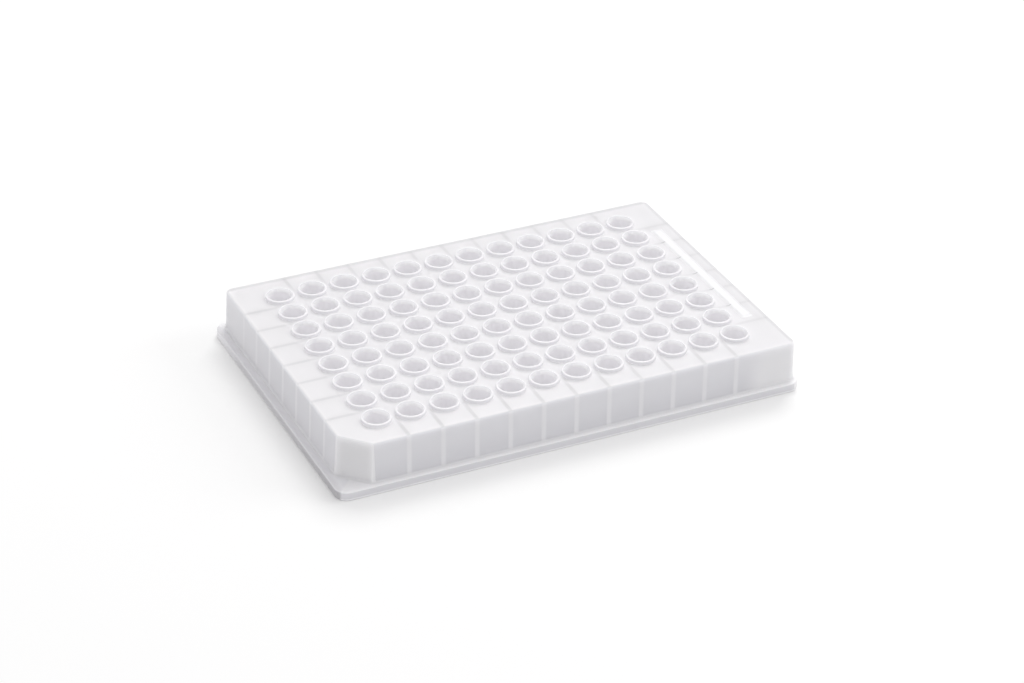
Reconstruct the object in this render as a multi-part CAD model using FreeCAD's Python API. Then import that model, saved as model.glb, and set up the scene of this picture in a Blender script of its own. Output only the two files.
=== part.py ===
import FreeCAD, Part
import math
import os

# A 96-well plate on a stepped skirt, moulded in one piece of natural polypropylene.
# Millimetres, +Z up. The origin is the centre of the footprint on the level it stands
# on. The columns of wells run along X and the rows along Y. The corner at -X, -Y is cut.

# Well array
PITCH = 9.0
COLUMNS = 12
ROWS = 8
WELL_MOUTH_RADIUS = 3.33
WELL_FLOOR_RADIUS = 3.15
WELL_DEPTH = 11.2
WELL_WALL = 0.5
WELL_FLOOR = 0.75
RIM_HEIGHT = 0.92
# Flat sides that stand for the round wall of a well, on which its area stays the same
WELL_SIDES = 10

# Deck, skirt and base flange
PLATE_HEIGHT = 14.35
DECK_MARGIN_X = 12.4
DECK_MARGIN_Y = 9.8
DECK_CORNER = 2.0
DECK_EDGE_ROUND = 0.6
CORNER_CUT = 6.6
SKIRT_DRAFT = math.radians(1.8)
FLANGE_STEP_X = 1.98
FLANGE_STEP_Y = 1.44
FLANGE_HEIGHT = 2.41
FLANGE_CORNER = 3.18
FLANGE_EDGE_CHAMFER = 0.25

# Thicknesses and the corners inside
DECK_THICKNESS = 1.2
SKIRT_THICKNESS = 1.2
LEDGE_THICKNESS = 1.2
INSIDE_CORNER = 0.8
FLANGE_INSIDE_CORNER = 1.98

# Gussets between the skirt and the gaps of the outer wells
RIB_THICKNESS = 0.9
RIB_CLEARANCE = 0.6
RIB_FOOT_DEPTH = 2.6

# Smooth marking bar on the deck, at +X
BAR_LENGTH = 48.6
BAR_WIDTH = 2.4
BAR_HEIGHT = 0.45
BAR_MARGIN = 3.8

ARRAY_X = PITCH * (COLUMNS - 1)
ARRAY_Y = PITCH * (ROWS - 1)
DECK_LENGTH = ARRAY_X + 2 * DECK_MARGIN_X
DECK_WIDTH = ARRAY_Y + 2 * DECK_MARGIN_Y
DECK_TOP = PLATE_HEIGHT - RIM_HEIGHT
DECK_UNDERSIDE = DECK_TOP - DECK_THICKNESS
CENTRE = FreeCAD.Vector(0, 0, 0)
UP = FreeCAD.Vector(0, 0, 1)


def closed(corners):
    """Closed wire of straight edges through these corners."""
    return Part.makePolygon(corners + corners[:1])


def outline(length, width, cut, z):
    """Corners of a rectangle about the Z axis at height z, the one at -X, -Y cut at 45 degrees."""
    x = length / 2
    y = width / 2
    near = [(-x, -y + cut), (-x + cut, -y)] if cut else [(-x, -y)]
    return [FreeCAD.Vector(px, py, z) for px, py in near + [(x, -y), (x, y), (-x, y)]]


def flat_sided(lower, upper):
    """Solid with flat sides between two level outlines that run the same way round."""
    outlines = [upper, lower[::-1]]
    for corner in range(len(lower)):
        outlines.append([lower[corner - 1], lower[corner], upper[corner], upper[corner - 1]])
    return Part.Solid(Part.Shell([Part.Face(closed(corners)) for corners in outlines]))


def upright_edges(shape):
    """Edges that rise at the rounded corners: all but the two beside the cut corner."""
    rising = [edge for edge in shape.Edges if edge.BoundBox.ZLength > edge.BoundBox.XLength]
    rising = [edge for edge in rising if edge.BoundBox.ZLength > edge.BoundBox.YLength]
    beside_cut = [edge for edge in rising if edge.BoundBox.XMax < 0 and edge.BoundBox.YMax < 0]
    return [edge for edge in rising if len(beside_cut) < 2 or edge not in beside_cut]


def edges_at(shape, z):
    """Edges that lie in the level plane at height z."""
    return [edge for edge in shape.Edges
            if all(abs(vertex.Z - z) < Part.Precision.confusion() for vertex in edge.Vertexes)]


def skirt_block(inset, bottom, top, corner):
    """Drafted block between two heights, inset from the outer face of the skirt."""
    outlines = []
    for z in (bottom, top):
        grow = (DECK_TOP - z) * math.tan(SKIRT_DRAFT) - inset
        cut = CORNER_CUT + grow * (2 - math.sqrt(2))
        outlines.append(outline(DECK_LENGTH + 2 * grow, DECK_WIDTH + 2 * grow, cut, z))
    block = flat_sided(*outlines)
    return block.makeFillet(corner, upright_edges(block))


def flange_block(inset, height, corner):
    """Straight block on the base, inset from the edge of the footprint."""
    length = DECK_LENGTH + 2 * (FLANGE_STEP_X - inset)
    width = DECK_WIDTH + 2 * (FLANGE_STEP_Y - inset)
    block = Part.Face(closed(outline(length, width, 0, 0))).extrude(UP * height)
    return block.makeFillet(corner, upright_edges(block))


def outer_form():
    """Deck and skirt in the solid, standing on the wider flange."""
    skirt = skirt_block(0, 0, DECK_TOP, DECK_CORNER)
    skirt = skirt.makeFillet(DECK_EDGE_ROUND, edges_at(skirt, DECK_TOP))
    flange = flange_block(0, FLANGE_HEIGHT, FLANGE_CORNER)
    flange = flange.makeChamfer(FLANGE_EDGE_CHAMFER, edges_at(flange, FLANGE_HEIGHT))
    return skirt.fuse(flange)


def hollow():
    """Space under the deck, with the wider recess in the flange, open at the bottom."""
    room = skirt_block(SKIRT_THICKNESS, 0, DECK_UNDERSIDE, INSIDE_CORNER)
    recess = flange_block(SKIRT_THICKNESS, FLANGE_HEIGHT - LEDGE_THICKNESS, FLANGE_INSIDE_CORNER)
    return room.fuse(recess)


def ribs_along_x(wells, deck_edge, array_edge):
    """Gussets on both sides of a block, one at each gap between two wells of the outer row."""
    inner = array_edge + WELL_MOUTH_RADIUS + WELL_WALL + RIB_CLEARANCE
    root = DECK_TOP - DECK_THICKNESS / 2
    wall = deck_edge - SKIRT_THICKNESS / 2
    foot = wall + (DECK_TOP - FLANGE_HEIGHT) * math.tan(SKIRT_DRAFT)
    section = [(inner, root), (wall, root), (foot, FLANGE_HEIGHT), (foot - RIB_FOOT_DEPTH, FLANGE_HEIGHT)]
    side = closed([FreeCAD.Vector(-RIB_THICKNESS / 2, y, z) for y, z in section])
    rib = Part.Face(side).extrude(FreeCAD.Vector(RIB_THICKNESS, 0, 0))
    ribs = []
    for gap in range(wells - 1):
        placed = rib.translated(FreeCAD.Vector(PITCH * (gap - (wells - 2) / 2), 0, 0))
        ribs += [placed, placed.rotated(CENTRE, UP, 180)]
    return ribs


def ribs():
    """All gussets: two long sides, then two short ones a quarter turn round."""
    long_sides = ribs_along_x(COLUMNS, DECK_WIDTH / 2, ARRAY_Y / 2)
    short_sides = ribs_along_x(ROWS, DECK_LENGTH / 2, ARRAY_X / 2)
    return long_sides + [rib.rotated(CENTRE, UP, 90) for rib in short_sides]


def marking_bar():
    """Low bar along the margin of the deck at +X, rooted in the deck."""
    root = DECK_THICKNESS / 2
    outer_x = DECK_LENGTH / 2 - BAR_MARGIN
    corner = FreeCAD.Vector(outer_x - BAR_WIDTH, -BAR_LENGTH / 2, DECK_TOP - root)
    return Part.makeBox(BAR_WIDTH, BAR_LENGTH, root + BAR_HEIGHT, corner)


def many_sided(radius, z):
    """Corners of a regular outline with the area of a circle, a flat of it facing +X."""
    step = 2 * math.pi / WELL_SIDES
    to_corner = radius * math.sqrt(step / math.sin(step))
    angles = [step * (side + 0.5) for side in range(WELL_SIDES)]
    return [FreeCAD.Vector(math.cos(a), math.sin(a), 0) * to_corner + UP * z for a in angles]


def plug(added_wall, floor):
    """Tapered solid with flat sides that fills a well, its wall included if that is added."""
    foot = many_sided(WELL_FLOOR_RADIUS + added_wall, floor)
    mouth = many_sided(WELL_MOUTH_RADIUS + added_wall, PLATE_HEIGHT)
    return flat_sided(foot, mouth)


def array(shape):
    """A copy of the shape in each place of the well array."""
    copies = []
    for row in range(ROWS):
        for column in range(COLUMNS):
            x = PITCH * column - ARRAY_X / 2
            y = PITCH * row - ARRAY_Y / 2
            copies.append(shape.translated(FreeCAD.Vector(x, y, 0)))
    return copies


def well_plate():
    """The whole moulding: shell, ribs and bar, then the tubes and their bores."""
    floor = PLATE_HEIGHT - WELL_DEPTH
    shell = outer_form().cut(hollow())
    tubes = array(plug(WELL_WALL, floor - WELL_FLOOR))
    bores = array(plug(0, floor))
    return shell.fuse(ribs() + [marking_bar()] + tubes).cut(bores)


os.makedirs("parts", exist_ok=True)
well_plate().exportStep(os.path.join("parts", "well_plate.step"))
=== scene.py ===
import math

import bmesh
import bpy
from mathutils import Euler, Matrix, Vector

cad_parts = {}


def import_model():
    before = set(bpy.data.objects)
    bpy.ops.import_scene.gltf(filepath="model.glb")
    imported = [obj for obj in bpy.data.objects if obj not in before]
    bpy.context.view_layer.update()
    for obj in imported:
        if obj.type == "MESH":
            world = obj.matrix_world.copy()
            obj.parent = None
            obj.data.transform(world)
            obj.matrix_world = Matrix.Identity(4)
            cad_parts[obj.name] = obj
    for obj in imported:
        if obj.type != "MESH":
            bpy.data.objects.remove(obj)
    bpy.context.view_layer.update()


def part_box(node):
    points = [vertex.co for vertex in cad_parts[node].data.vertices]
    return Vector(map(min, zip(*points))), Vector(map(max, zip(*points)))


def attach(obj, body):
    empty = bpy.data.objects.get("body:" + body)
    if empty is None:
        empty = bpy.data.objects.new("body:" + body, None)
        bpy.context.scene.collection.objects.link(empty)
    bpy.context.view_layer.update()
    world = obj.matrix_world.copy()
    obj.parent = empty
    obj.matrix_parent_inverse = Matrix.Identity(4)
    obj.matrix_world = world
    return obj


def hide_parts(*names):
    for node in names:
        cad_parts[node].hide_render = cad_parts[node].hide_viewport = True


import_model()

# Dresses the moulded 96-well plate: round thin-walled wells in a milky polypropylene shell,
# on a white studio floor. Metres, +Z up, the origin at the middle of the plate's underside.

MM = 0.001
LOW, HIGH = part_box("well_plate")
FOOT_LENGTH = HIGH.x - LOW.x
FOOT_WIDTH = HIGH.y - LOW.y
PLATE_TOP = HIGH.z

# Wells
PITCH = 9.0 * MM
COLUMNS = 12
ROWS = 8
WELL_SIDES = 40
MOUTH_RADIUS = 3.33 * MM
FLOOR_RADIUS = 2.97 * MM
WELL_DEPTH = 11.2 * MM
WELL_WALL = 0.5 * MM
WELL_FLOOR = 0.75 * MM
COLLAR_DEPTH = 1.08 * MM
COLLAR_TAPER = 0.33 * MM
COLLAR_STEP = 0.03 * MM
LEAD_IN_DEPTH = 0.35 * MM
LEAD_IN_TAPER = 0.03 * MM
RIM_HEIGHT = 0.92 * MM
RIM_EDGE = 0.09 * MM
RIM_TILT = 0.08 * MM
FLOOR_CORNER = 0.4 * MM

# Deck, skirt and flange
FLANGE_STEP_X = 2.12 * MM
FLANGE_STEP_Y = 1.70 * MM
FLANGE_HEIGHT = 2.41 * MM
FLANGE_CORNER = 3.18 * MM
FLANGE_EDGE = 0.25 * MM
FOOT_CHAMFER = 0.09 * MM
DECK_CORNER = 2.0 * MM
DECK_EDGE = 0.6 * MM
CORNER_CUT = 6.6 * MM
FILLET = 0.4 * MM
SKIRT_DRAFT = math.radians(1.8)
WALL = 1.2 * MM
INSIDE_CORNER = 0.8 * MM
DECK_OFFSET_X = 0.65 * MM
DECK_OFFSET_Y = 0.08 * MM

# Ribs and marking bar
RIB_THICKNESS = 0.9 * MM
RIB_CLEARANCE = 0.6 * MM
RIB_FOOT_DEPTH = 2.6 * MM
BAR_LENGTH = 48.6 * MM
BAR_WIDTH = 1.9 * MM
BAR_HEIGHT = 0.25 * MM
BAR_SLOPE = 0.7 * MM
BAR_MARGIN = 4.3 * MM
BAR_EDGE = 0.2 * MM

ARRAY_X = PITCH * (COLUMNS - 1)
ARRAY_Y = PITCH * (ROWS - 1)
DECK_LENGTH = FOOT_LENGTH - 2 * FLANGE_STEP_X
DECK_WIDTH = FOOT_WIDTH - 2 * FLANGE_STEP_Y
DECK_TOP = PLATE_TOP - RIM_HEIGHT
DECK_UNDERSIDE = DECK_TOP - WALL
LEDGE = FLANGE_HEIGHT - WALL
ARC_STEPS = 6
EDGE_STEPS = 4
BEND_STEPS = 3
ROUND_STEPS = 2
BEND_SHARE = 0.8
ROOT_SHARE = 0.9
SHARP_BEND = math.radians(45)
LEVEL_SLACK = 0.001 * MM
MERGE_SLACK = 0.002 * MM


# ---------------------------------------------------------------- mesh helpers

def merge_doubles(bm):
    """Joins the doubles that a spin or an array leaves."""
    bmesh.ops.remove_doubles(bm, verts=bm.verts, dist=MERGE_SLACK)


def at_level(edge, z):
    """True if both ends of an edge lie at height z."""
    return all(abs(vert.co.z - z) < LEVEL_SLACK for vert in edge.verts)


def bevel_edges(bm, edges, offset, segments):
    """Rounds edges with an arc."""
    bmesh.ops.bevel(bm, geom=edges, offset=offset, offset_type="OFFSET", affect="EDGES",
                    segments=segments, profile=0.5, material=-1)


def bevel_corners(bm, verts, offset, segments):
    """Rounds the corners of a flat outline, or cuts them off if there is one segment."""
    bmesh.ops.bevel(bm, geom=verts, offset=offset, offset_type="OFFSET", affect="VERTICES",
                    segments=segments, profile=0.5, material=-1)


def outline(length, width, z, corner, cut=0.0):
    """New level face with rounded corners, the one at -X, -Y cut at 45 degrees if asked."""
    bm = bmesh.new()
    bmesh.ops.create_grid(bm, x_segments=1, y_segments=1, size=0.5)
    bmesh.ops.scale(bm, verts=bm.verts, vec=(length, width, 1.0))
    bmesh.ops.translate(bm, verts=bm.verts, vec=(0.0, 0.0, z))
    keyed = [vert for vert in bm.verts if cut and vert.co.x < 0 and vert.co.y < 0]
    rounded = [vert for vert in bm.verts if vert not in keyed]
    bevel_corners(bm, rounded, corner, ARC_STEPS)
    if keyed:
        bevel_corners(bm, keyed, cut, 1)
    return bm


def drop_wall(bm, length, width, height, grow, edges=None):
    """Draws the outline's edge down into a wall that widens by grow on each side."""
    made = bmesh.ops.extrude_edge_only(bm, edges=edges or bm.edges[:])["geom"]
    foot = [item for item in made if isinstance(item, bmesh.types.BMVert)]
    widening = (1 + 2 * grow / length, 1 + 2 * grow / width, 1.0)
    bmesh.ops.scale(bm, verts=foot, vec=widening)
    bmesh.ops.translate(bm, verts=foot, vec=(0.0, 0.0, -height))


def drop_top_face(bm, z):
    """Takes away the face at height z and leaves its edges."""
    top = [face for face in bm.faces if all(at_level(edge, z) for edge in face.edges)]
    bmesh.ops.delete(bm, geom=top, context="FACES_ONLY")


def close_level(bm, z):
    """Fills the flat area between all the open or loose edges at height z."""
    edges = [edge for edge in bm.edges if (edge.is_boundary or edge.is_wire) and at_level(edge, z)]
    bmesh.ops.triangle_fill(bm, edges=edges, use_beauty=True, use_dissolve=False,
                            normal=(0.0, 0.0, 1.0))


def add_part(bm, part):
    """Moves a part's mesh into the whole."""
    mesh = bpy.data.meshes.new("part")
    part.to_mesh(mesh)
    part.free()
    bm.from_mesh(mesh)
    bpy.data.meshes.remove(mesh)


# ---------------------------------------------------------------- the moulding

def turned(section):
    """Revolves a section, drawn from the outside to the axis, into a closed cup."""
    bm = bmesh.new()
    verts = [bm.verts.new((radius, 0.0, z)) for radius, z in section]
    edges = [bm.edges.new(pair) for pair in zip(verts, verts[1:])]
    bmesh.ops.spin(bm, geom=verts + edges, cent=(0, 0, 0), axis=(0, 0, 1), dvec=(0, 0, 0),
                   angle=2 * math.pi, steps=WELL_SIDES, use_merge=True)
    merge_doubles(bm)
    return bm


def join_to_tile(bm, z):
    """Joins a cup's open edge to the square of deck around it."""
    tile = bmesh.ops.create_grid(bm, x_segments=1, y_segments=1, size=PITCH / 2)["verts"]
    bmesh.ops.translate(bm, verts=tile, vec=(0.0, 0.0, z))
    sides = list(tile[0].link_faces[0].edges)
    bmesh.ops.delete(bm, geom=[tile[0].link_faces[0]], context="FACES_ONLY")
    bmesh.ops.subdivide_edges(bm, edges=sides, cuts=WELL_SIDES // 4 - 1)
    close_level(bm, z)


def round_loops(bm, z, offset):
    """Rounds the circular edges at height z."""
    loops = [edge for edge in bm.edges if at_level(edge, z) and not edge.is_boundary]
    loops = [edge for edge in loops if edge.calc_face_angle() > SHARP_BEND]
    bevel_edges(bm, loops, offset, ROUND_STEPS)


def well():
    """Inside of a well with its raised rim, on a square of deck, the lining in slot 1."""
    floor = PLATE_TOP - WELL_DEPTH
    rim = MOUTH_RADIUS + WELL_WALL
    collar = PLATE_TOP - COLLAR_DEPTH
    foot = MOUTH_RADIUS - COLLAR_TAPER
    bm = turned([(rim, DECK_TOP), (rim, PLATE_TOP - RIM_TILT), (MOUTH_RADIUS, PLATE_TOP),
                 (MOUTH_RADIUS - LEAD_IN_TAPER, PLATE_TOP - LEAD_IN_DEPTH),
                 (foot, collar), (foot - COLLAR_STEP, collar - COLLAR_STEP),
                 (FLOOR_RADIUS, floor), (0.0, floor)])
    round_loops(bm, PLATE_TOP, RIM_EDGE)
    round_loops(bm, PLATE_TOP - RIM_TILT, RIM_EDGE)
    round_loops(bm, floor, FLOOR_CORNER)
    for face in bm.faces:
        face.material_index = int(all(vert.co.z < collar + RIM_EDGE and
                                      vert.co.xy.length < MOUTH_RADIUS + RIM_EDGE
                                      for vert in face.verts))
    join_to_tile(bm, DECK_TOP)
    return bm


def tube():
    """Outside of a well under the deck, with its square of the deck's underside."""
    foot = PLATE_TOP - WELL_DEPTH - WELL_FLOOR
    share = (DECK_UNDERSIDE - foot) / (PLATE_TOP - foot)
    root = WELL_WALL + FLOOR_RADIUS + (MOUTH_RADIUS - FLOOR_RADIUS) * share
    bm = turned([(root, DECK_UNDERSIDE), (WELL_WALL + FLOOR_RADIUS, foot), (0.0, foot)])
    round_loops(bm, foot, FLOOR_CORNER)
    join_to_tile(bm, DECK_UNDERSIDE)
    return bm


def repeat(bm, times, step):
    """Repeats all there is in the mesh along a step."""
    cell = bm.verts[:] + bm.edges[:] + bm.faces[:]
    for place in range(1, times):
        copy = bmesh.ops.duplicate(bm, geom=cell)["geom"]
        verts = [item for item in copy if isinstance(item, bmesh.types.BMVert)]
        bmesh.ops.translate(bm, verts=verts, vec=[place * part for part in step])


def array_of_wells():
    """All the wells, their tubes and the two faces of the deck between them."""
    bm = well()
    add_part(bm, tube())
    bmesh.ops.translate(bm, verts=bm.verts, vec=(-ARRAY_X / 2, -ARRAY_Y / 2, 0.0))
    repeat(bm, COLUMNS, (PITCH, 0.0, 0.0))
    repeat(bm, ROWS, (0.0, PITCH, 0.0))
    merge_doubles(bm)
    return bm


def skirt():
    """Rounded edge of the deck and the drafted wall below it, outside."""
    height = DECK_TOP - FLANGE_HEIGHT - FILLET
    grow = height * math.tan(SKIRT_DRAFT)
    bm = outline(DECK_LENGTH, DECK_WIDTH, DECK_TOP, DECK_CORNER, CORNER_CUT)
    drop_wall(bm, DECK_LENGTH, DECK_WIDTH, height, grow)
    bend = [edge for edge in bm.edges if at_level(edge, FLANGE_HEIGHT + FILLET)]
    drop_wall(bm, DECK_LENGTH + 2 * grow, DECK_WIDTH + 2 * grow, FILLET, FILLET, bend)
    bend = [edge for edge in bm.edges if at_level(edge, FLANGE_HEIGHT + FILLET)]
    bevel_edges(bm, bend, FILLET * BEND_SHARE, BEND_STEPS)
    rim = [edge for edge in bm.edges if at_level(edge, DECK_TOP)]
    bevel_edges(bm, rim, DECK_EDGE, EDGE_STEPS)
    drop_top_face(bm, DECK_TOP)
    bmesh.ops.translate(bm, verts=bm.verts, vec=(DECK_OFFSET_X, DECK_OFFSET_Y, 0.0))
    return bm


def flange():
    """Outside of the base flange, with a fine bevel round its foot."""
    bm = outline(FOOT_LENGTH, FOOT_WIDTH, FLANGE_HEIGHT, FLANGE_CORNER)
    drop_wall(bm, FOOT_LENGTH, FOOT_WIDTH, FLANGE_HEIGHT - FOOT_CHAMFER, 0.0)
    bend = [edge for edge in bm.edges if at_level(edge, FOOT_CHAMFER)]
    drop_wall(bm, FOOT_LENGTH, FOOT_WIDTH, FOOT_CHAMFER, -FOOT_CHAMFER, bend)
    rim = [edge for edge in bm.edges if at_level(edge, FLANGE_HEIGHT)]
    bevel_edges(bm, rim, FLANGE_EDGE, BEND_STEPS)
    drop_top_face(bm, FLANGE_HEIGHT)
    return bm


def room():
    """Inner face of the skirt, from the deck's underside to the ledge of the flange."""
    height = DECK_UNDERSIDE - LEDGE
    lean = (DECK_TOP - DECK_UNDERSIDE) * math.tan(SKIRT_DRAFT) - WALL
    length = DECK_LENGTH + 2 * lean
    width = DECK_WIDTH + 2 * lean
    bm = outline(length, width, DECK_UNDERSIDE, INSIDE_CORNER, CORNER_CUT - WALL)
    drop_wall(bm, length, width, height, height * math.tan(SKIRT_DRAFT))
    drop_top_face(bm, DECK_UNDERSIDE)
    bmesh.ops.translate(bm, verts=bm.verts, vec=(DECK_OFFSET_X, DECK_OFFSET_Y, 0.0))
    return bm


def recess():
    """Inner face of the flange, from the ledge down to the base."""
    length = FOOT_LENGTH - 2 * WALL
    width = FOOT_WIDTH - 2 * WALL
    bm = outline(length, width, LEDGE, FLANGE_CORNER - WALL)
    drop_wall(bm, length, width, LEDGE, 0.0)
    drop_top_face(bm, LEDGE)
    return bm


def marking_bar():
    """Raised bar on the deck with sloped sides, open below."""
    bm = outline(BAR_WIDTH, BAR_LENGTH, DECK_TOP + BAR_HEIGHT, BAR_EDGE)
    centre_x = DECK_LENGTH / 2 - BAR_MARGIN - BAR_WIDTH / 2
    drop_wall(bm, BAR_WIDTH, BAR_LENGTH, BAR_HEIGHT, BAR_SLOPE)
    rim = [edge for edge in bm.edges if at_level(edge, DECK_TOP + BAR_HEIGHT)]
    bevel_edges(bm, rim, BAR_EDGE, EDGE_STEPS)
    bmesh.ops.translate(bm, verts=bm.verts, vec=(centre_x + DECK_OFFSET_X, 0.0, 0.0))
    return bm


def ribs_along_x(wells, deck_edge, array_edge):
    """Gussets of one side, one at each gap between two wells of the outer row."""
    inner = array_edge + MOUTH_RADIUS + WELL_WALL + RIB_CLEARANCE
    root = DECK_TOP - WALL / 2
    wall = deck_edge - WALL * ROOT_SHARE
    foot = wall + (DECK_TOP - FLANGE_HEIGHT) * math.tan(SKIRT_DRAFT)
    section = [(inner, root), (wall, root), (foot, FLANGE_HEIGHT),
               (foot - RIB_FOOT_DEPTH, FLANGE_HEIGHT)]
    bm = bmesh.new()
    start = -RIB_THICKNESS / 2 - PITCH * (wells - 2) / 2
    face = bm.faces.new([bm.verts.new((start, y, z)) for y, z in section])
    made = bmesh.ops.extrude_face_region(bm, geom=[face], use_keep_orig=True)["geom"]
    far = [item for item in made if isinstance(item, bmesh.types.BMVert)]
    bmesh.ops.translate(bm, verts=far, vec=(RIB_THICKNESS, 0.0, 0.0))
    repeat(bm, wells - 1, (PITCH, 0.0, 0.0))
    return bm


def ribs():
    """Gussets of all four sides."""
    whole = bmesh.new()
    sides = [(COLUMNS, DECK_WIDTH / 2, ARRAY_Y / 2), (ROWS, DECK_LENGTH / 2, ARRAY_X / 2)]
    for quarter in range(4):
        bm = ribs_along_x(*sides[quarter % 2])
        turn = Euler((0.0, 0.0, quarter * math.pi / 2)).to_matrix()
        bmesh.ops.rotate(bm, verts=bm.verts, cent=(0, 0, 0), matrix=turn)
        offset = (DECK_OFFSET_X, 0.0, 0.0) if quarter % 2 else (0.0, DECK_OFFSET_Y, 0.0)
        bmesh.ops.translate(bm, verts=bm.verts, vec=offset)
        add_part(whole, bm)
    return whole


def moulding():
    """The whole plate as one closed shell, with the ribs rooted in it."""
    bm = array_of_wells()
    for part in (skirt(), flange(), room(), recess(), marking_bar()):
        add_part(bm, part)
    for level in (DECK_TOP, FLANGE_HEIGHT, 0.0, LEDGE, DECK_UNDERSIDE):
        close_level(bm, level)
    merge_doubles(bm)
    add_part(bm, ribs())
    bmesh.ops.recalc_face_normals(bm, faces=bm.faces)
    return bm


# ---------------------------------------------------------------- materials

# Tones lie by place on the plate, so that they stay where they are from every side. Many of them
# are painted light and shade.

# Deck
DECK_COLOUR = (0.885, 0.878, 0.885, 1.0)
# Painted light and shade: the deck's margin is lighter at -X and darker towards +X.
MARGIN_LEFT_LIT_COLOUR = (0.915, 0.90, 0.905, 1.0)
MARGIN_RIGHT_SHADED_COLOUR = (0.845, 0.838, 0.845, 1.0)
# Painted shade over the ribs on the deck; the same colour, fainter, marks the real ejector pin
# marks.
DECK_RIB_SHADE_AND_PIN_MARK_COLOUR = (0.75, 0.745, 0.75, 1.0)
# Painted shade along the deck's edges at +X and +Y.
EDGE_SHADE_COLOUR = (0.55, 0.55, 0.55, 1.0)
LINE_SOFT = (0.4, 1.5)
MARK_SOFT = (0.85, 1.15)
LINE_HALF = 0.5 * MM
LINE_LEAD = PITCH / 3
LINE_BACK_SHARE = 0.6
LINE_END_SHARE = 0.55
EDGE_LINE = 2.2 * MM
EDGE_LINE_PAST = EDGE_LINE / 5
EDGE_END_SHARE = 0.65
EDGE_SIDE_SHARE = 0.56
EDGE_FLAT = (DECK_TOP - DECK_EDGE * 0.2, DECK_TOP - DECK_EDGE * 0.02)
PIN_X = 3 * PITCH
PIN_Y = 2 * PITCH
PIN_MARK = 0.8 * MM
PIN_MARK_SHARE = 0.3

# Skirt
# Inside faces set lighter than the outside: painted light for the hollow under the deck.
INNER_LIT_COLOUR = (0.92, 0.917, 0.925, 1.0)
WALL_COLOUR = (0.81, 0.812, 0.832, 1.0)
# Painted shade: the skirt darker towards its foot.
WALL_FOOT_SHADE_COLOUR = (0.75, 0.75, 0.77, 1.0)
END_FOOT_SHADE_COLOUR = (0.80, 0.80, 0.82, 1.0)
# Painted light: the -X end of the skirt lighter towards the back; also the colour of the ends'
# ledges.
WALL_BACK_LIT_COLOUR = (0.87, 0.87, 0.885, 1.0)
# Painted light: lighter lines along the ribs' roots in the skirt.
WALL_RIB_LIGHT_COLOUR = (0.90, 0.90, 0.915, 1.0)
# Painted light on the cut corner.
CUT_LIT_COLOUR = (0.97, 0.97, 0.985, 1.0)
# Painted light towards the +X end of the skirt and on the deck's rounding there.
OPEN_CORNER_LIT_COLOUR = (0.98, 0.98, 0.985, 1.0)
# Painted highlight on the fillet at the skirt's foot.
FILLET_HIGHLIGHT_COLOUR = (0.93, 0.93, 0.94, 1.0)
ROOT_HALF = 0.62 * MM
WALL_UPPER = DECK_TOP - 3.0 * MM
CUT_REACH = 0.3 * MM
OPEN_CORNER = (ARRAY_X / 2 - 3.0 * MM, ARRAY_X / 2 + 5.0 * MM)
OPEN_CORNER_SHARE = (0.5, 1.0)
FILLET_BAND = (FLANGE_HEIGHT + 0.1 * MM, FLANGE_HEIGHT + 0.7 * MM)

# Flange
# Painted shade: the flange's face darker than the skirt.
FLANGE_SHADED_COLOUR = (0.76, 0.76, 0.775, 1.0)
# Painted light on the flange's ledge, and a painted highlight line along its foot.
FLANGE_LEDGE_LIGHT_AND_FOOT_HIGHLIGHT_COLOUR = (0.98, 0.98, 0.985, 1.0)
# Painted shade and light: the ends of the flange darker at the front, lighter at the back.
END_FRONT_SHADE_COLOUR = (0.46, 0.455, 0.46, 1.0)
END_MIDDLE_SHADE_COLOUR = (0.69, 0.685, 0.69, 1.0)
END_BACK_LIT_COLOUR = (0.95, 0.945, 0.955, 1.0)
# Painted shade on the outer part of the ends' ledges.
END_LEDGE_SHADE_COLOUR = (0.72, 0.715, 0.725, 1.0)
# Painted shadow along the very foot of the flange.
FOOT_SHADOW_COLOUR = (0.2, 0.2, 0.21, 1.0)
END_SOFT = 1.0 * MM
END_LEDGE_BAND = (-1.3 * FLANGE_STEP_X, -0.2 * FLANGE_STEP_X)
LEDGE_BAND = (FLANGE_HEIGHT - 0.4 * MM, FLANGE_HEIGHT - 0.02 * MM)
FOOT_LINE_LOW = (FOOT_CHAMFER, FOOT_CHAMFER + 0.06 * MM)
FOOT_LINE_HIGH = (0.35 * MM, 0.6 * MM)
FOOT_EDGE_LOW = (FOOT_CHAMFER * 0.1, FOOT_CHAMFER * 0.3)
FOOT_EDGE_HIGH = (FOOT_CHAMFER * 0.8, FOOT_CHAMFER * 1.1)

# Wells
# Painted light and shade inside the wells' mouths: a lighter collar, a darker upper edge and darker
# stripes towards the neighbours.
COLLAR_LIT_COLOUR = (0.99, 0.985, 0.99, 1.0)
COLLAR_EDGE_SHADE_COLOUR = (0.84, 0.835, 0.85, 1.0)
STRIPE_SHADE_COLOUR = (0.86, 0.855, 0.87, 1.0)
# Painted shade: the rim tops darker than the deck.
RIM_TOP_SHADE_COLOUR = (0.86, 0.85, 0.86, 1.0)
RIM_SIDE_COLOUR = (0.885, 0.88, 0.90, 1.0)
# Painted highlight high on the rim's side.
RIM_EDGE_HIGHLIGHT_COLOUR = (0.93, 0.925, 0.935, 1.0)
# The wells' lining set lighter: painted light that stands for the light through the thin walls.
WELL_LIT_COLOUR = (0.982, 0.977, 0.986, 1.0)
RADIUS_SLACK = 0.02 * MM
COLLAR_BAND = (PLATE_TOP - LEAD_IN_DEPTH * 1.3, PLATE_TOP - LEAD_IN_DEPTH * 0.8)
STRIPE_BAND = (0.2 * MM, 0.9 * MM)
RIM_FOOT_BAND = (DECK_TOP, DECK_TOP + 0.3 * MM)
RIM_EDGE_BAND = (PLATE_TOP - 0.4 * MM, PLATE_TOP - 0.1 * MM)

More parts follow.
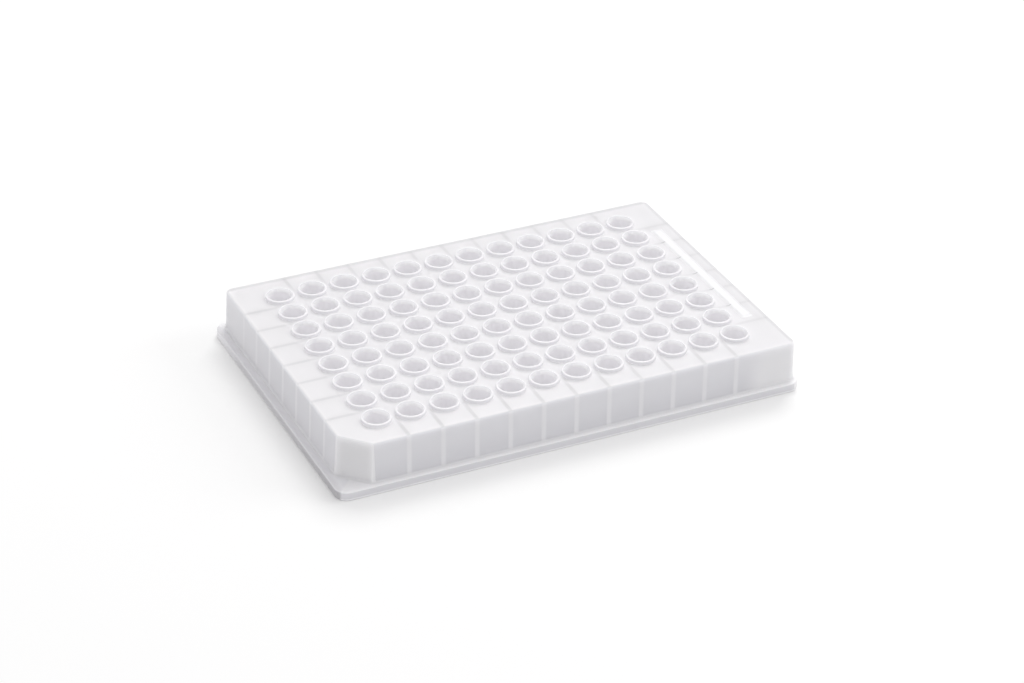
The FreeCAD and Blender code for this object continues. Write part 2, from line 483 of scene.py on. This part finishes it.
# Marking bar
BAR_COLOUR = (0.905, 0.905, 0.91, 1.0)
# Painted light on the bar's slopes.
BAR_SIDE_LIT_COLOUR = (0.99, 0.99, 0.99, 1.0)
# Painted shade on short marks where the ribs meet the bar's foot.
BAR_MARK_SHADE_COLOUR = (0.62, 0.62, 0.62, 1.0)
BAR_MARK_REACH = (0.595 * MM, 0.85 * MM)
BAR_MARK_HALF = 0.17 * MM
BAR_TOP_BAND = (DECK_TOP + BAR_HEIGHT * 0.6, DECK_TOP + BAR_HEIGHT * 0.9)

# Plastic
SCATTER = 2.0 * MM
GRAIN_SCALE = 5000.0
GRAIN_DETAIL = 2.0
GRAIN_RANGE = (0.2, 0.8)
GRAIN_DEPTH = 0.02 * MM
GRAIN_STRENGTH = 0.15
ROUGHNESS = (0.34, 0.44)
POLISHED_ROUGHNESS = 0.3
PLASTIC_IOR = 1.49


class Graph:
    """A material's nodes, added one at a time."""

    def __init__(self, name):
        self.material = bpy.data.materials.new(name)
        self.material.use_nodes = True
        self.nodes = self.material.node_tree.nodes
        self.links = self.material.node_tree.links
        self.surface = self.nodes["Principled BSDF"]

    def feed(self, socket, value):
        """Sets a socket to a constant, or links another socket to it."""
        if isinstance(value, bpy.types.NodeSocket):
            self.links.new(value, socket)
        else:
            socket.default_value = value

    def math(self, operation, first, second=0.0):
        """Result of a Math node."""
        node = self.nodes.new("ShaderNodeMath")
        node.operation = operation
        self.feed(node.inputs[0], first)
        self.feed(node.inputs[1], second)
        return node.outputs[0]

    def minus(self, first, second):
        """First value less the second."""
        return self.math("SUBTRACT", first, second)

    def both(self, first, second):
        """Product of two shares: 1 where both are 1."""
        return self.math("MULTIPLY", first, second)

    def either(self, first, second):
        """The larger of two shares."""
        return self.math("MAXIMUM", first, second)

    def over(self, value, limit):
        """1 where a value is over a limit."""
        return self.math("GREATER_THAN", value, limit)

    def under(self, value, limit):
        """1 where a value is under a limit."""
        return self.math("LESS_THAN", value, limit)

    def rise(self, value, start, end, low=0.0, high=1.0):
        """Smooth step of a value between start and end."""
        node = self.nodes.new("ShaderNodeMapRange")
        node.interpolation_type = "SMOOTHSTEP"
        for name, item in (("Value", value), ("From Min", start), ("From Max", end),
                           ("To Min", low), ("To Max", high)):
            self.feed(node.inputs[name], item)
        return node.outputs["Result"]

    def fall(self, value, start, end, high=1.0):
        """Smooth step down to 0."""
        return self.rise(value, start, end, high, 0.0)

    def noise(self, place, scale, detail):
        """Factor of a Noise Texture."""
        node = self.nodes.new("ShaderNodeTexNoise")
        self.feed(node.inputs["Vector"], place)
        node.inputs["Scale"].default_value = scale
        node.inputs["Detail"].default_value = detail
        return node.outputs[0]

    def length(self, x, y):
        """Length of a flat vector."""
        return self.math("SQRT", self.math("ADD", self.both(x, x), self.both(y, y)))

    def mix(self, share, first, second):
        """Colour between two colours."""
        node = self.nodes.new("ShaderNodeMix")
        node.data_type = "RGBA"
        self.feed(node.inputs[0], share)
        self.feed(node.inputs[6], first)
        self.feed(node.inputs[7], second)
        return node.outputs[2]


class Place:
    """Coordinates of a point on the plate, and its distances from the deck's outline."""

    def __init__(self, graph):
        self.point = graph.nodes.new("ShaderNodeTexCoord").outputs["Object"]
        parts = graph.nodes.new("ShaderNodeSeparateXYZ")
        graph.feed(parts.inputs[0], self.point)
        self.x, self.y, self.z = parts.outputs
        self.size_x = graph.math("ABSOLUTE", self.x)
        self.size_y = graph.math("ABSOLUTE", self.y)
        self.deck_x = graph.minus(self.x, DECK_OFFSET_X)
        self.deck_y = graph.minus(self.y, DECK_OFFSET_Y)
        self.from_end = graph.minus(DECK_LENGTH / 2, graph.math("ABSOLUTE", self.deck_x))
        self.from_side = graph.minus(DECK_WIDTH / 2, graph.math("ABSOLUTE", self.deck_y))
        self.from_cut = graph.math("ADD", (DECK_LENGTH + DECK_WIDTH) / 2 - CORNER_CUT,
                                   graph.math("ADD", self.deck_x, self.deck_y))
        self.in_array = graph.both(graph.under(self.size_x, (ARRAY_X + PITCH) / 2),
                                   graph.under(self.size_y, (ARRAY_Y + PITCH) / 2))
        self.off_x = graph.minus(graph.math("FLOORED_MODULO", self.x, PITCH), PITCH / 2)
        self.off_y = graph.minus(graph.math("FLOORED_MODULO", self.y, PITCH), PITCH / 2)
        self.from_axis = graph.length(self.off_x, self.off_y)


def line_of_ribs(graph, across, along, length, half):
    """1 at each gap between two wells of a row, along the length of the row."""
    line = graph.fall(graph.math("PINGPONG", across, PITCH / 2),
                      half * LINE_SOFT[0], half * LINE_SOFT[1])
    return graph.both(line, graph.under(along, length / 2))


def deck_rib_shade(graph, at):
    """1 over a rib, where shade is painted on the deck as a darker line."""
    front = graph.both(line_of_ribs(graph, at.x, at.size_x, ARRAY_X, LINE_HALF),
                       graph.rise(at.size_y, ARRAY_Y / 2, ARRAY_Y / 2 + LINE_LEAD))
    front = graph.both(front, graph.rise(at.y, -PITCH, PITCH, 1.0, LINE_BACK_SHARE))
    end = graph.both(line_of_ribs(graph, at.y, at.size_y, ARRAY_Y, LINE_HALF),
                     graph.rise(at.size_x, ARRAY_X / 2, ARRAY_X / 2 + LINE_LEAD))
    return graph.either(front, graph.both(end, LINE_END_SHARE))


def edge_shade_lines(graph, at):
    """1 on a line of painted shade just inside the deck's edge along the sides at +X and +Y."""
    from_end = graph.minus(DECK_LENGTH / 2 + EDGE_LINE_PAST, at.deck_x)
    from_side = graph.minus(DECK_WIDTH / 2, at.deck_y)
    return graph.either(graph.fall(from_end, EDGE_LINE / 2, EDGE_LINE, EDGE_END_SHARE),
                        graph.fall(from_side, EDGE_LINE / 2, EDGE_LINE, EDGE_SIDE_SHARE))


def pin_marks(graph, at):
    """1 on the four round marks of the ejector pins."""
    reach = graph.length(graph.minus(at.size_x, PIN_X), graph.minus(at.size_y, PIN_Y))
    return graph.fall(reach, PIN_MARK * MARK_SOFT[0], PIN_MARK * MARK_SOFT[1])


def wall_rib_light(graph, at, on_end):
    """1 along a rib's root in the skirt, where light is painted as a lighter line."""
    across_end = line_of_ribs(graph, at.y, at.size_y, ARRAY_Y, ROOT_HALF)
    across_side = line_of_ribs(graph, at.x, at.size_x, ARRAY_X, ROOT_HALF)
    return graph.math("ADD", graph.both(on_end, across_end),
                      graph.both(graph.minus(1.0, on_end), across_side))


def bar_mark_shade(graph, at):
    """1 on a short mark of painted shade where a rib meets the foot of the marking bar."""
    foot = DECK_LENGTH / 2 - BAR_MARGIN - BAR_WIDTH - BAR_SLOPE
    from_foot = graph.math("ABSOLUTE", graph.minus(at.deck_x, foot))
    return graph.both(graph.fall(from_foot, *BAR_MARK_REACH),
                      line_of_ribs(graph, at.y, at.size_y, BAR_LENGTH, BAR_MARK_HALF))


def deck_tone(graph, at):
    """Colour of the deck, with painted light and shade across its margin, painted shade over the
    ribs and along the edges at +X and +Y, and the pin marks.
    """
    # Painted light and shade: the margin lighter at -X, darker towards +X.
    margin = graph.mix(graph.rise(at.x, -DECK_LENGTH / 2, ARRAY_X / 4), MARGIN_LEFT_LIT_COLOUR,
                       MARGIN_RIGHT_SHADED_COLOUR)
    amid = graph.both(graph.fall(at.size_x, ARRAY_X / 2, ARRAY_X / 2 + PITCH),
                      graph.fall(at.size_y, ARRAY_Y / 2, ARRAY_Y / 2 + PITCH))
    colour = graph.mix(amid, margin, DECK_COLOUR)
    # Painted shade: darker lines over the ribs, weaker towards the back.
    colour = graph.mix(deck_rib_shade(graph, at), colour, DECK_RIB_SHADE_AND_PIN_MARK_COLOUR)
    # Painted shade along the deck's edges at +X and +Y.
    edge = graph.both(graph.rise(at.z, *EDGE_FLAT), edge_shade_lines(graph, at))
    colour = graph.mix(edge, colour, EDGE_SHADE_COLOUR)
    return graph.mix(graph.both(pin_marks(graph, at), PIN_MARK_SHARE), colour, DECK_RIB_SHADE_AND_PIN_MARK_COLOUR)


def wall_tone(graph, at):
    """Colour of the skirt's outside, with painted shade towards its foot, a painted highlight on
    the fillet there, and painted light along the ribs, towards the back of the -X end, on the cut
    corner and towards +X.
    """
    on_end = graph.under(at.deck_x, DECK_EDGE - DECK_LENGTH / 2)
    # Painted shade towards the skirt's foot.
    foot = graph.mix(on_end, WALL_FOOT_SHADE_COLOUR, END_FOOT_SHADE_COLOUR)
    colour = graph.mix(graph.rise(at.z, FLANGE_HEIGHT, WALL_UPPER), foot, WALL_COLOUR)
    # Painted light towards the back of the -X end.
    backward_light = graph.both(on_end, graph.rise(at.y, 0.0, DECK_WIDTH / 2))
    colour = graph.mix(backward_light, colour, WALL_BACK_LIT_COLOUR)
    # Painted light along the ribs' roots.
    colour = graph.mix(wall_rib_light(graph, at, on_end), colour, WALL_RIB_LIGHT_COLOUR)
    # Painted light on the cut corner.
    colour = graph.mix(graph.under(at.from_cut, CUT_REACH), colour, CUT_LIT_COLOUR)
    # Painted light towards +X.
    open_corner_light = graph.both(graph.rise(at.x, *OPEN_CORNER),
                             graph.rise(at.z, DECK_TOP, FLANGE_HEIGHT, *OPEN_CORNER_SHARE))
    colour = graph.mix(open_corner_light, colour, OPEN_CORNER_LIT_COLOUR)
    # Painted highlight on the fillet.
    return graph.mix(graph.fall(at.z, *FILLET_BAND), colour, FILLET_HIGHLIGHT_COLOUR)


def flange_tone(graph, at):
    """Colour of the flange, with painted shade and light on its faces and ledge, and 1 along its
    foot, where a painted highlight line and a painted shadow edge take no scattering.
    """
    on_end = graph.rise(graph.minus(at.size_x, at.size_y), (DECK_LENGTH - DECK_WIDTH) / 2,
                        (FOOT_LENGTH - FOOT_WIDTH) / 2 + END_SOFT)
    # Painted shade and light on the ends: darker at the front, lighter at the back.
    end_face_shading = graph.mix(graph.rise(at.y, -FOOT_WIDTH, DECK_WIDTH / 2), END_FRONT_SHADE_COLOUR,
                         END_MIDDLE_SHADE_COLOUR)
    end_face_shading = graph.mix(graph.rise(at.y, DECK_WIDTH / 4, FOOT_WIDTH / 2), end_face_shading,
                         END_BACK_LIT_COLOUR)
    # Painted shade on the flange's face.
    face = graph.mix(on_end, FLANGE_SHADED_COLOUR, end_face_shading)
    # Painted light on the ledge, with painted shade on the outer part of the ends' ledges.
    ledge = graph.mix(on_end, FLANGE_LEDGE_LIGHT_AND_FOOT_HIGHLIGHT_COLOUR, WALL_BACK_LIT_COLOUR)
    ledge = graph.mix(graph.both(on_end, graph.fall(at.from_end, *END_LEDGE_BAND)), ledge,
                      END_LEDGE_SHADE_COLOUR)
    # Painted highlight line along the flange's foot.
    line = graph.both(graph.rise(at.z, *FOOT_LINE_LOW), graph.fall(at.z, *FOOT_LINE_HIGH))
    line = graph.both(line, graph.minus(1.0, on_end))
    # Painted shadow at the very foot of the flange.
    edge = graph.both(graph.rise(at.z, *FOOT_EDGE_LOW), graph.fall(at.z, *FOOT_EDGE_HIGH))
    face = graph.mix(line, face, FLANGE_LEDGE_LIGHT_AND_FOOT_HIGHLIGHT_COLOUR)
    face = graph.mix(edge, face, FOOT_SHADOW_COLOUR)
    return graph.mix(graph.rise(at.z, *LEDGE_BAND), face, ledge), graph.either(line, edge)


def shell_tone(graph, at):
    """Colour of the deck, skirt and flange together, and 1 along the flange's foot, on its painted
    highlight line and painted shadow edge.
    """
    flange_colour, unscattered = flange_tone(graph, at)
    inward = graph.math("MINIMUM", graph.math("MINIMUM", at.from_end, at.from_side),
                        graph.both(at.from_cut, math.sqrt(0.5)))
    colour = graph.mix(graph.over(at.z, FLANGE_HEIGHT + LEVEL_SLACK), flange_colour,
                       wall_tone(graph, at))
    # Painted light on the inside faces under the deck.
    colour = graph.mix(graph.over(inward, WALL / 2), colour, INNER_LIT_COLOUR)
    on_deck = graph.rise(at.z, DECK_TOP - DECK_EDGE / 2, DECK_TOP)
    colour = graph.mix(on_deck, colour, deck_tone(graph, at))
    # Painted light on the deck's rounding at +X.
    rounding = graph.both(graph.over(at.deck_x, DECK_LENGTH / 2 - DECK_EDGE),
                          graph.fall(at.z, *EDGE_FLAT))
    return graph.mix(rounding, colour, OPEN_CORNER_LIT_COLOUR), unscattered


def rim_tone(graph, at, colour):
    """A colour with the rims and collars laid over it: painted shade on the rim tops, painted light
    and shade in the collars, a painted highlight high on the rim sides, and 1 on the side of a rim.
    """
    # Painted shade on the rim tops.
    top = graph.both(at.in_array, graph.over(at.z, PLATE_TOP - RIM_TILT - RIM_EDGE))
    colour = graph.mix(top, colour, RIM_TOP_SHADE_COLOUR)
    nearest = graph.math("MINIMUM", graph.math("ABSOLUTE", at.off_x),
                         graph.math("ABSOLUTE", at.off_y))
    # Painted light and shade in the collar: lighter, with darker stripes towards the neighbours and
    # a darker upper edge.
    collar_shading = graph.mix(graph.rise(nearest, *STRIPE_BAND), STRIPE_SHADE_COLOUR, COLLAR_LIT_COLOUR)
    inside = graph.mix(graph.fall(at.z, *COLLAR_BAND), COLLAR_EDGE_SHADE_COLOUR, collar_shading)
    collar = graph.both(graph.under(at.from_axis, MOUTH_RADIUS + RADIUS_SLACK),
                        graph.over(at.z, PLATE_TOP - COLLAR_DEPTH - WELL_WALL))
    colour = graph.mix(graph.both(at.in_array, collar), colour, inside)
    side = graph.both(graph.rise(at.z, *RIM_FOOT_BAND),
                      graph.over(at.from_axis, MOUTH_RADIUS + WELL_WALL - RADIUS_SLACK))
    side = graph.both(at.in_array, side)
    # Painted highlight high on the rim's side.
    side_highlight_colour = graph.mix(graph.rise(at.z, *RIM_EDGE_BAND), RIM_SIDE_COLOUR, RIM_EDGE_HIGHLIGHT_COLOUR)
    return graph.mix(side, colour, side_highlight_colour), side


def bar_tone(graph, at, colour):
    """A colour with the marking bar and its marks laid over it, painted light on the bar's slopes
    and painted shade on the marks, and 1 on the bar's top and the marks.
    """
    bar = graph.both(graph.over(at.z, DECK_TOP + MERGE_SLACK),
                     graph.over(at.size_x, (ARRAY_X + PITCH) / 2))
    top = graph.both(bar, graph.rise(at.z, *BAR_TOP_BAND))
    # Painted light on the bar's slopes.
    colour = graph.mix(bar, colour, graph.mix(top, BAR_SIDE_LIT_COLOUR, BAR_COLOUR))
    # Painted shade on short marks by the bar's foot.
    marks = bar_mark_shade(graph, at)
    return graph.mix(marks, colour, BAR_MARK_SHADE_COLOUR), graph.either(top, marks)


def natural_polypropylene():
    """Milky matte plastic, with painted shade over the ribs on the deck, painted light along them
    on the skirt, and more painted light and shade by place.
    """
    graph = Graph("natural_polypropylene")
    at = Place(graph)
    colour, foot = shell_tone(graph, at)
    colour, rim_side = rim_tone(graph, at, colour)
    colour, bar = bar_tone(graph, at, colour)
    graph.feed(graph.surface.inputs["Base Color"], colour)
    # No scattering on the rim sides, the bar's top, the bar's marks of painted shade, and the
    # flange's painted highlight line and painted shadow edge.
    unscattered = graph.either(graph.either(rim_side, foot), bar)
    graph.feed(graph.surface.inputs["Subsurface Weight"], graph.minus(1.0, unscattered))
    graph.surface.inputs["Subsurface Radius"].default_value = (1.0, 1.0, 1.0)
    graph.surface.inputs["Subsurface Scale"].default_value = SCATTER

    grain = graph.noise(at.point, GRAIN_SCALE, GRAIN_DETAIL)
    graph.feed(graph.surface.inputs["Roughness"], graph.rise(grain, *GRAIN_RANGE, *ROUGHNESS))
    bump = graph.nodes.new("ShaderNodeBump")
    bump.inputs["Strength"].default_value = GRAIN_STRENGTH
    bump.inputs["Distance"].default_value = GRAIN_DEPTH
    graph.feed(bump.inputs["Height"], grain)
    graph.feed(graph.surface.inputs["Normal"], bump.outputs[0])
    graph.surface.inputs["IOR"].default_value = PLASTIC_IOR
    return graph.material


def polished_wells():
    """The same plastic inside the wells, where the mould is polished; its colour is set lighter,
    painted light that stands for the light coming through the thin walls.
    """
    graph = Graph("polished_wells")
    graph.surface.inputs["Base Color"].default_value = WELL_LIT_COLOUR
    graph.surface.inputs["Roughness"].default_value = POLISHED_ROUGHNESS
    graph.surface.inputs["IOR"].default_value = PLASTIC_IOR
    return graph.material


def studio_floor():
    """White floor that shows as white to the camera and keeps the plate's shadow."""
    graph = Graph("studio_floor")
    graph.surface.inputs["Roughness"].default_value = 1.0
    graph.surface.inputs["Specular IOR Level"].default_value = 0.0
    graph.surface.inputs["Emission Color"].default_value = WHITE
    seen = graph.nodes.new("ShaderNodeLightPath").outputs["Is Camera Ray"]
    graph.feed(graph.surface.inputs["Base Color"],
               graph.mix(seen, FLOOR_COLOUR, FLOOR_SEEN_COLOUR))
    graph.feed(graph.surface.inputs["Emission Strength"], graph.both(seen, FLOOR_LIFT))
    return graph.material


# ---------------------------------------------------------------- the scene

WHITE = (1.0, 1.0, 1.0, 1.0)
FLOOR_COLOUR = (0.86, 0.86, 0.86, 1.0)
FLOOR_SEEN_COLOUR = (0.985, 0.99, 0.972, 1.0)
FLOOR_LIFT = 0.025
FLOOR_SIZE = 6.0
AMBIENT_COLOUR = (0.985, 0.975, 1.0, 1.0)
AMBIENT = 0.76
SHARP_EDGE = math.radians(35)
CLIP_END = 20.0
DIFFUSE_BOUNCES = 12
LENS = 97.52
CAMERA_PLACE = (-0.270789, -0.546886, 0.378061)
CAMERA_TURN = (58.6111, -1.43148, -25.6472)


def plate():
    """The plate as one piece in place of the plain CAD node."""
    mesh = bpy.data.meshes.new("plate")
    bm = moulding()
    bm.to_mesh(mesh)
    bm.free()
    mesh.shade_smooth()
    mesh.set_sharp_from_angle(angle=SHARP_EDGE)
    piece = bpy.data.objects.new("plate", mesh)
    bpy.context.scene.collection.objects.link(piece)
    leading = piece.modifiers.new("flats_lead", "WEIGHTED_NORMAL")
    leading.keep_sharp = True
    mesh.materials.append(natural_polypropylene())
    mesh.materials.append(polished_wells())
    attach(piece, "root")
    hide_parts("well_plate")


def floor():
    """Floor under the plate."""
    mesh = bpy.data.meshes.new("studio_floor")
    bm = bmesh.new()
    bmesh.ops.create_grid(bm, x_segments=1, y_segments=1, size=FLOOR_SIZE / 2)
    bm.to_mesh(mesh)
    bm.free()
    ground = bpy.data.objects.new("studio_floor", mesh)
    bpy.context.scene.collection.objects.link(ground)
    mesh.materials.append(studio_floor())


def softbox(name, place, size, watts):
    """Square area lamp aimed at the plate."""
    lamp = bpy.data.lights.new(name, "AREA")
    lamp.size = size
    lamp.energy = watts
    holder = bpy.data.objects.new(name, lamp)
    holder.location = place
    holder.rotation_euler = (-holder.location).to_track_quat("-Z", "Y").to_euler()
    bpy.context.scene.collection.objects.link(holder)


def world():
    """White surroundings: white to the camera, plain light on the plate."""
    surroundings = bpy.data.worlds.new("white_studio")
    surroundings.use_nodes = True
    nodes = surroundings.node_tree.nodes
    links = surroundings.node_tree.links
    nodes["Background"].inputs["Color"].default_value = AMBIENT_COLOUR
    nodes["Background"].inputs["Strength"].default_value = AMBIENT
    seen = nodes.new("ShaderNodeBackground")
    seen.inputs["Color"].default_value = WHITE
    light_path = nodes.new("ShaderNodeLightPath")
    choice = nodes.new("ShaderNodeMixShader")
    links.new(light_path.outputs["Is Camera Ray"], choice.inputs[0])
    links.new(nodes["Background"].outputs[0], choice.inputs[1])
    links.new(seen.outputs[0], choice.inputs[2])
    links.new(choice.outputs[0], nodes["World Output"].inputs["Surface"])
    bpy.context.scene.world = surroundings


def camera():
    """Long lens from above the front left corner."""
    eye = bpy.data.cameras.new("camera")
    eye.lens = LENS
    eye.clip_end = CLIP_END
    holder = bpy.data.objects.new("camera", eye)
    holder.location = CAMERA_PLACE
    holder.rotation_euler = [math.radians(angle) for angle in CAMERA_TURN]
    bpy.context.scene.collection.objects.link(holder)
    bpy.context.scene.camera = holder


plate()
floor()
softbox("key_back_right", place=(0.7, 0.9, 1.3), size=0.75, watts=9.0)
softbox("fill_right", place=(1.3, -0.3, 0.7), size=0.7, watts=3.0)
world()
camera()
bpy.context.scene.cycles.diffuse_bounces = DIFFUSE_BOUNCES
bpy.context.scene.view_settings.view_transform = "Standard"
